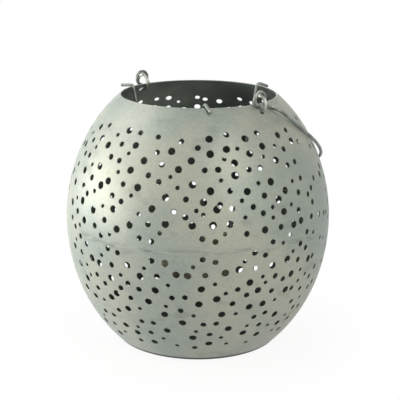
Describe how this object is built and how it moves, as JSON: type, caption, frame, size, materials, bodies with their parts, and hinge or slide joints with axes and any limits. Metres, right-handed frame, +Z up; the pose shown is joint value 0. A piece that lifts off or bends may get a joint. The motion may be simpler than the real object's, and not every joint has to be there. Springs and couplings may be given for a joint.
{
  "type": "punched tin lantern",
  "caption": "Round punched sheet-metal lantern with an open mouth, a folding wire bail and a lift-out candle cup hung on wire hooks.",
  "frame": {"origin": "middle of the flat underside, on the surface that the lantern stands on", "axes": "+Z up through the mouth, -Y towards the front, +X to the right; the bail's hinge axis runs from back left to front right"},
  "size_m": [0.2, 0.2, 0.1981],
  "materials": {
    "spun_zinc": "satin, zinc-plated spun sheet",
    "weld_metal": "ground flush",
    "bright_wire": "zinc-plated wire",
    "grey_wire": "dull zinc-plated wire",
    "cup_tin": "dull tin"
  },
  "bodies": {
    "lantern": {"lower_shell": "spun_zinc", "upper_shell": "spun_zinc", "seam_weld": "weld_metal", "handle_rings": "bright_wire"},
    "bail": {"bail_handle": "grey_wire"},
    "hanger": {"hanger_hook_front": "grey_wire", "hanger_hook_left": "grey_wire", "hanger_hook_right": "grey_wire", "candle_cup": "cup_tin"}
  },
  "joints": [
    {"name": "bail_hinge", "type": "hinge", "parent": "lantern", "child": "bail", "pos_m": [0, 0, 0.1917], "axis": [0.7071, -0.7071, 0], "range_deg": [0, 249.7]},
    {"name": "hanger_lift", "type": "slide", "parent": "lantern", "child": "hanger", "axis": [0, 0, 1], "range_m": [0, 0.16]}
  ]
}
